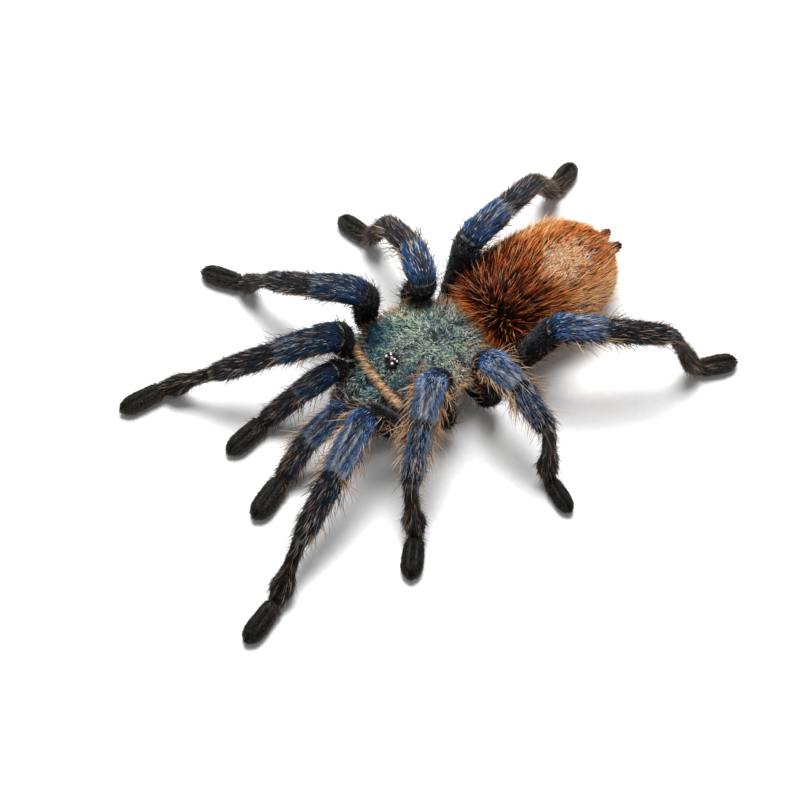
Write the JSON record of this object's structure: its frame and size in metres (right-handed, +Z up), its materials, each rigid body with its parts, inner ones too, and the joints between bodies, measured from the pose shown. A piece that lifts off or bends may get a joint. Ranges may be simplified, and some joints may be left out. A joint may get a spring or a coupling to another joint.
{
  "type": "tarantula specimen",
  "caption": "Dry tarantula specimen that stands on its feet, with a felted blue-green carapace, hairy metallic blue legs and an orange haired abdomen.",
  "frame": {"origin": "middle of the footprint, on the ground plane under the soles", "axes": "+Y along the body from head to tail, +X to the animal's left, +Z up"},
  "size_m": [0.0828, 0.1104, 0.0243],
  "materials": {
    "carapace_coat": "matte",
    "abdomen_coat": "matte",
    "spinneret_coat": "matte",
    "chelicera_coat": "matte",
    "palp_coat": "matte",
    "leg_coat": "matte"
  },
  "bodies": {
    "root": {"cephalothorax": "carapace_coat", "abdomen": "abdomen_coat", "spinneret_left": "spinneret_coat", "spinneret_right": "spinneret_coat", "chelicera_left": "chelicera_coat", "chelicera_right": "chelicera_coat", "palp_left": "palp_coat", "palp_right": "palp_coat", "leg_1_left": "leg_coat", "leg_2_left": "leg_coat", "leg_3_left": "leg_coat", "leg_4_left": "leg_coat", "leg_1_right": "leg_coat", "leg_2_right": "leg_coat", "leg_3_right": "leg_coat", "leg_4_right": "leg_coat"}
  },
  "joints": []
}
